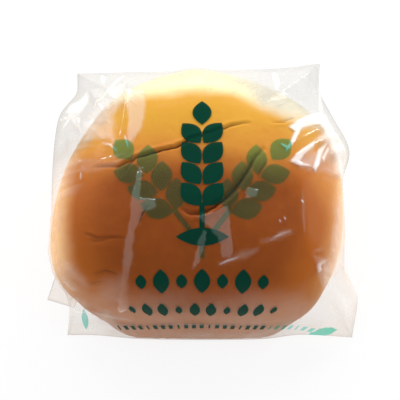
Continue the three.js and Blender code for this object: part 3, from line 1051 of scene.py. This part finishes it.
def crust_material():
    """Baked crust: a dark crown, amber and gold headwards, pale at the head and low on its sides; the gold,
    pale and side tones are partly painted light.
    """
    surface = Surface("crust")
    place = surface.place()
    x, y, z = (part / MM for part in surface.parts(place))
    cloud = surface.noise(place, *CLOUD) - 0.5
    mottle = surface.noise(place, *MOTTLE)
    grain = surface.noise(place, *GRAIN)
    headwards = y + cloud * CLOUD_REACH["tones"]
    across, along_crown = x - CROWN_MIDDLE[0], (y - CROWN_MIDDLE[1]) * CROWN_SQUEEZE
    outwards = (across**2 + along_crown**2) ** 0.5 + cloud * CLOUD_REACH["tones"]
    shift, corner_across, corner_along = CORNER_SHIFT
    outwards = outwards + x.rise(*corner_across) * y.rise(*corner_along) * shift
    off_foot = y.rise(*SIDE_FROM_FOOT)
    tone = surface.blend(outwards.rise(*BROWN_OUTWARDS), CRUST_DARK, CRUST_BROWN)
    amber = outwards.rise(*AMBER_OUTWARDS) * y.rise(*AMBER_FROM_FOOT)
    tone = surface.blend(amber.most(headwards.rise(*AMBER_HEADWARDS)), tone, CRUST_AMBER)
    left_across, left_along = (
        axis.rise(*first) * axis.rise(*last) for axis, (first, last) in ((x, LEFT_ACROSS), (y, LEFT_ALONG))
    )
    # the sides' pale tone, brightened as painted light on the flanks
    low = z + cloud * CLOUD_REACH["side"] - LEFT_LIFT * left_across * left_along
    side = low.rise(*SIDE_HEIGHTS) * (SIDE_LEAST + (1 - SIDE_LEAST) * off_foot)
    tone = surface.blend(side, tone, LIT_SIDE_CRUST)
    # gold and pale headwards: partly the crust's tone, partly painted light and glare from the head side
    lit_gold = headwards.rise(*GOLD_HEADWARDS)
    tone = surface.blend(lit_gold, tone, LIT_GOLD_CRUST)
    lowered, lowered_across = PALE_LOWERED
    pale = surface.blend(x.rise(*CREAM_RIGHTWARDS), PALE_GLARE_CRUST, CRUST_CREAM)
    pale_edge = y + x.rise(*lowered_across) * lowered + cloud * CLOUD_REACH["pale"]
    tone = surface.blend(pale_edge.rise(*PALE_HEADWARDS), tone, pale)
    # low flanks: pale crust, partly painted light
    flank = surface.blend(headwards.rise(*FLANK_PALE_HEADWARDS), LIT_SIDE_CRUST, PALE_GLARE_CRUST)
    tone = surface.blend(z.rise(*FLANK_HEIGHTS) * off_foot, tone, flank)
    base = (z + cloud * CLOUD_REACH["base"]).rise(*BASE_HEIGHTS)
    tone = surface.blend(base, tone, CRUST_BROWN)
    level, width, strength, weaker = SPECKS
    specks = (mottle - level).rise(0, width) * (strength - weaker * lit_gold)
    tone = surface.blend(specks, tone, CRUST_BROWN)
    # painted shade along the creases
    tone = surface.blend(surface.noted("painted_fold_shade") * PAINTED_SHADE_STRENGTH, tone, PAINTED_FOLD_SHADE)
    sockets = {
        "Base Color": tone,
        "Roughness": CRUST_ROUGHNESS[0] + grain * CRUST_ROUGHNESS[1],
        "Normal": surface.bump(mottle * 0.6 + grain * 0.4, *CRUST_BUMP),
        "Specular IOR Level": CRUST_SHINE,
    }
    return surface.finish(surface.node("ShaderNodeBsdfPrincipled", inputs=sockets))


# ---------------------------------------------------------------- film and its print

LIGHT_INK = (0.2, 0.6, 0.46, 1)
LIGHT_INK_FILTER = (0.5, 0.82, 0.84, 1)
DARK_INK = (0.002, 0.055, 0.033, 1)
# Haze tints: the warm one also paints light bounced off the crust; the shaded one is grey to paint shade
# over the head half.
HAZE_WARM = (0.93, 0.83, 0.75, 1)
SHADED_HAZE = (0.6, 0.59, 0.58, 1)
HAZE_FOOT = (0.8, 0.73, 0.66, 1)
# colour of the highlights painted at the film's folds
GLINT_PAINT_COLOUR = (0.98, 0.98, 0.97, 1)
CLEAR_FILM = (0.955, 0.953, 0.95, 1)
RIM_FILM = (0.84, 0.83, 0.82, 1)
WHITE = (1, 1, 1, 1)
# Noise of the film: size of its features, detail, roughness.
RIPPLE = (11, 2, 0.5)
SCRATCH = (3.5, 3, 0.6)
SHADED_HAZE_FROM = (-10, 20)  # in y, from warm haze to grey haze that paints shade towards the head
FOOT_HAZE_FROM = (-47, -54)
MILK_THROUGH = 0.4  # share of a milky layer's light that comes from its far side
HAZE_RIPPLE = (0.85, 0.5)  # share of the haze that is even, and of what ripples
# How much of the crust light ink hides: where the film clings, what loose film adds, and in the
# corners of the foot. Dark ink hides nearly all.
LIGHT_COVER = (0.03, 0.03, 0.35)
DARK_COVER = 0.96
INK_ONSET = 0.2  # of the light ink's mask, past which haze takes its colour
FILM_BUMP = {"ripple": 0.7, "scratch": 0.12}
FILM_BUMP_HEIGHT = 0.6
FILM_BUMP_STRENGTH = 0.6
FILM_ROUGHNESS = 0.1
SHEEN_HEAD_ON = 0.04
SHEEN_POWER = 5.0
SHEEN = (0.05, 1.1)  # of film that clings, and what loose film adds

# The print, on the flattened sheet: an ear has its foot, its lean in degrees, how many pairs of
# grains, the pitch from pair to pair, and the half length and half width of a grain.
MIDDLE_EAR = ((0, -17), 0, 4, 8.6, (5.8, 3.8))
SIDE_EAR_FOOT = (10.5, -19)
SIDE_EAR_LEAN = 38
SIDE_EAR = (3, 9.4, (6.4, 4.2))
GRAIN_LEAN = 52
GRAIN_OFF = 1.1  # how far a pair's grains lie off the stalk, in half widths
TIP_OFF = 0.6  # place of the last grain past the last pair, in pitches
SHEAF_STALK = ((0, -25), 1.0, 12)  # middle, half width and half length
SHEAF_TIE = ((0, -29), (10, 3.4), 0)
INK_EDGE = 0.12
GRAIN_EDGE = 0.03
STALK = (1.0, 8)  # half width and half length
# Rows of upright grains: the first one's place, the step to the next, how many, which are small,
# and the half length and half width of the large and of the small ones.
GRAIN_ROWS = [
    ((-24, -46), 8, 7, 2, (5, 3.2), (3, 2.2)),
    ((-31, -60), 7, 10, 3, (4.4, 2.3), (2.6, 1.5)),
]
# The row of ticks: the first one's place, the step, how many are dark, and how many there are.
TICKS = ((-46, -76), 4.2, 20, 27)
TICK_SIZES = (1.1, 0.5, 2.0)  # half widths of a wide one and of each fourth, and half height
# Ink in the corners of the foot: middle, half length and half width, and lean.
LEAF = ((-48, -53), (2.6, 1.3), 75)
SMEAR = ((51, -56.3), (6.2, 1.2), 6)
FRAY = (2.5, 2)  # size and detail of the smear's frayed edge
FRAY_HEIGHT = 1.2


def lens(u, v, centre, half_size, lean):
    """1 inside a pointed grain that leans by degrees from +u, with a soft edge."""
    c, s = math.cos(math.radians(lean)), math.sin(math.radians(lean))
    du, dv = u - centre[0], v - centre[1]
    a, b = (du * c + dv * s) / half_size[0], (dv * c - du * s) / half_size[1]
    return (1.0 - a * a - abs(b)).rise(-GRAIN_EDGE, GRAIN_EDGE)


def bar(u, v, centre, half_width, half_height):
    """1 inside an upright rectangle, with a soft edge."""
    across = abs(u - centre[0]).rise(half_width + INK_EDGE, half_width - INK_EDGE)
    return across * abs(v - centre[1]).rise(half_height + INK_EDGE, half_height - INK_EDGE)


def together(masks):
    """1 inside any of several masks."""
    total = masks[0]
    for mask in masks[1:]:
        total = total.most(mask)
    return total


def wheat_ear(u, v, foot, lean, pairs, pitch, grain):
    """An ear of wheat: pairs of grains and a last one, on a stalk that leans by degrees from +v."""
    c, s = math.cos(math.radians(lean)), math.sin(math.radians(lean))
    du, dv = u - foot[0], v - foot[1]
    across, up = abs(du * c - dv * s), du * s + dv * c
    off = grain[1] * GRAIN_OFF
    sides = [lens(across, up, (off, pitch * (i + 0.5)), grain, GRAIN_LEAN) for i in range(pairs)]
    tip = lens(across, up, (0, pitch * (pairs + TIP_OFF)), grain, 90)
    return together([*sides, tip, bar(across, up, (0, 1 - STALK[1]), *STALK)])


def grain_row(u, v, first, step, count, every, large, small):
    """A row of upright grains, with a small one at every so many."""
    sizes = [large if i % every else small for i in range(count)]
    return [lens(u, v, (first[0] + step * i, first[1]), size, 90) for i, size in enumerate(sizes)]


def print_masks(surface):
    """Where the two inks lie: a sheaf of three ears over rows of plain marks."""
    u, v, top = surface.parts(surface.noted("sheet", "Vector"))
    reach, foot = SIDE_EAR_FOOT
    side_ears = [wheat_ear(u, v, (reach * side, foot), SIDE_EAR_LEAN * side, *SIDE_EAR) for side in (-1, 1)]
    light = together([*side_ears, bar(u, v, *SHEAF_STALK)])
    tie = lens(u, v, *SHEAF_TIE)
    marks = [mark for row in GRAIN_ROWS for mark in grain_row(u, v, *row)]
    first, step, dark_ticks, count = TICKS
    wide, narrow, height = TICK_SIZES
    widths = [wide if i % 4 else narrow for i in range(count)]
    ticks = [bar(u, v, (first[0] + step * i, first[1]), width, height) for i, width in enumerate(widths)]
    dark = together([wheat_ear(u, v, *MIDDLE_EAR), tie, *marks, *ticks[:dark_ticks]])
    return together([light, *ticks[dark_ticks:]]) * top, dark * top


def corner_masks(surface, place):
    """Where the light ink lies in the corners of the bag's foot: a leaf, and a frayed smear."""
    x, y, _ = (part / MM for part in surface.parts(place))
    _, _, top = surface.parts(surface.noted("sheet", "Vector"))
    frayed = (surface.noise(place, *FRAY) - 0.5) * FRAY_HEIGHT
    return lens(x, y, *LEAF).most(lens(x, y + frayed, *SMEAR)) * top


def milk(surface, tint):
    """A milky layer of one colour, lit from both sides."""
    near_side = surface.node("ShaderNodeBsdfDiffuse", inputs={"Color": tint})
    far_side = surface.node("ShaderNodeBsdfTranslucent", inputs={"Color": tint})
    return surface.shader_mix(MILK_THROUGH, near_side, far_side)


def see_through(surface, tint):
    """A clear layer that tints what lies behind it."""
    return surface.node("ShaderNodeBsdfTransparent", inputs={"Color": tint})


def film_material():
    """Clear film: milky where it is loose, with highlights painted at sharp folds, printed in two inks, and
    shiny; its haze also paints shade and bounced light.
    """
    surface = Surface("film")
    place = surface.place()
    _, y, _ = surface.parts(place)
    ripple = abs(surface.noise(place, *RIPPLE) - 0.5) * 2
    scratch = abs(surface.noise(place, *SCRATCH) - 0.5) * 2
    loose = surface.noted("loose")
    light, dark = print_masks(surface)
    corners = corner_masks(surface, place)
    light = light.most(corners)
    inked = light.rise(0, INK_ONSET)

    rim_film = see_through(surface, RIM_FILM)
    clear = surface.shader_mix(surface.noted("rim"), see_through(surface, CLEAR_FILM), rim_film)
    clear = surface.shader_mix(light, clear, see_through(surface, LIGHT_INK_FILTER))
    # warm haze that paints light bounced off the crust, and grey haze towards the head that paints shade
    shaded_blend = (y / MM).rise(*SHADED_HAZE_FROM)
    plain = surface.shader_mix(shaded_blend, milk(surface, HAZE_WARM), milk(surface, SHADED_HAZE))
    plain = surface.shader_mix((y / MM).rise(*FOOT_HAZE_FROM), plain, milk(surface, HAZE_FOOT))
    haze = surface.noted("milky") * (HAZE_RIPPLE[0] + HAZE_RIPPLE[1] * ripple)
    clinging, added, cornered = LIGHT_COVER
    cover = haze + light * (clinging + loose * added) + corners * cornered
    layer = surface.shader_mix(inked, plain, milk(surface, LIGHT_INK))
    body = surface.shader_mix(cover.least(1.0), clear, layer)
    # painted highlights: a bright milky layer, in the light ink's colour where the print lies
    fold = surface.shader_mix(inked, milk(surface, GLINT_PAINT_COLOUR), milk(surface, LIGHT_INK))
    body = surface.shader_mix(surface.noted("painted_glint"), body, fold)
    body = surface.shader_mix(dark * DARK_COVER, body, milk(surface, DARK_INK))

    height = ripple * FILM_BUMP["ripple"] + scratch * FILM_BUMP["scratch"]
    normal = surface.bump(height, FILM_BUMP_HEIGHT, loose * FILM_BUMP_STRENGTH)
    shine = {"Color": WHITE, "Roughness": FILM_ROUGHNESS, "Normal": normal}
    gloss = surface.node("ShaderNodeBsdfGlossy", inputs=shine)
    facing = {"Blend": 0.5, "Normal": normal}
    grazing = surface.node("ShaderNodeLayerWeight", inputs=facing, output="Facing")
    sheen = SHEEN_HEAD_ON + (1 - SHEEN_HEAD_ON) * grazing**SHEEN_POWER
    sheen = sheen * (SHEEN[0] + SHEEN[1] * loose * loose)
    return surface.finish(surface.shader_mix(sheen.least(1.0), body, gloss))


# ---------------------------------------------------------------- stage, light and camera


FLOOR_HALF_SIZE = 8  # metres
FLOOR_DROP = 0.2
PAPER = (0.14, 0.14, 0.14, 1)
PAPER_GLOW = 0.83
WORLD_STRENGTH = 0.95
LIGHT_TARGET = (0, 0, 0.02)  # metres
# Softboxes: name, azimuth from +y to +x, elevation, distance, width and height in metres, watts.
SOFTBOXES = [
    ("head_softbox", 2, 22, 1.3, 1.0, 0.3, 7.8),
    ("left_softbox", -44, 17, 1.2, 0.42, 0.3, 7),
    ("right_softbox", 48, 17, 1.2, 0.42, 0.3, 9),
]
CAMERA_ELEVATION = 70  # degrees, from the foot side
CAMERA_DISTANCE = 315
CAMERA_TARGET = (-0.8, -2.6, 22)
FRAME_WIDTH = 171  # millimetres across the view at the target
SENSOR = 36


def make_stage():
    """A plain glowing paper, a little under the bag."""
    mesh = bpy.data.meshes.new("floor")
    made = bmesh.new()
    bmesh.ops.create_grid(made, x_segments=1, y_segments=1, size=FLOOR_HALF_SIZE)
    bmesh.ops.translate(made, verts=made.verts, vec=(0, 0, -FLOOR_DROP * MM))
    made.to_mesh(mesh)
    made.free()
    surface = Surface("floor_paper")
    sockets = {"Base Color": PAPER, "Roughness": 0.9, "Specular IOR Level": 0.0}
    sockets |= {"Emission Color": WHITE, "Emission Strength": PAPER_GLOW}
    paper = surface.node("ShaderNodeBsdfPrincipled", inputs=sockets)
    mesh.materials.append(surface.finish(paper))
    floor = bpy.data.objects.new("floor", mesh)
    bpy.context.scene.collection.objects.link(floor)


def make_light(name, azimuth, elevation, distance, width, height, power):
    """A softbox that faces the object from a direction."""
    light = bpy.data.lights.new(name, "AREA")
    light.shape, light.size, light.size_y, light.energy = "RECTANGLE", width, height, power
    made = bpy.data.objects.new(name, light)
    a, e = math.radians(azimuth), math.radians(elevation)
    towards = Vector((math.sin(a) * math.cos(e), math.cos(a) * math.cos(e), math.sin(e)))
    made.location = Vector(LIGHT_TARGET) + towards * distance
    made.rotation_euler = towards.to_track_quat("Z", "Y").to_euler()
    bpy.context.scene.collection.objects.link(made)


def make_world():
    world = bpy.data.worlds.new("studio")
    world.use_nodes = True
    back = world.node_tree.nodes["Background"]
    back.inputs["Color"].default_value = WHITE
    back.inputs["Strength"].default_value = WORLD_STRENGTH
    bpy.context.scene.world = world


def make_camera():
    """The camera looks down on the print from the foot side."""
    camera = bpy.data.cameras.new("camera")
    camera.sensor_width = SENSOR
    camera.lens = SENSOR * CAMERA_DISTANCE / FRAME_WIDTH
    made = bpy.data.objects.new("camera", camera)
    tilt = math.radians(90 - CAMERA_ELEVATION)
    made.rotation_euler = Euler((tilt, 0, 0))
    back = Vector((0, -math.sin(tilt), math.cos(tilt)))
    made.location = (Vector(CAMERA_TARGET) + back * CAMERA_DISTANCE) * MM
    bpy.context.scene.collection.objects.link(made)
    bpy.context.scene.camera = made


def main():
    make_stage()
    make_world()
    for softbox in SOFTBOXES:
        make_light(*softbox)
    make_camera()
    bpy.context.scene.view_settings.view_transform = "Standard"
    crust = make_bun(crust_material())
    film = film_material()
    make_film(film, crust)
    make_ear(film)


main()
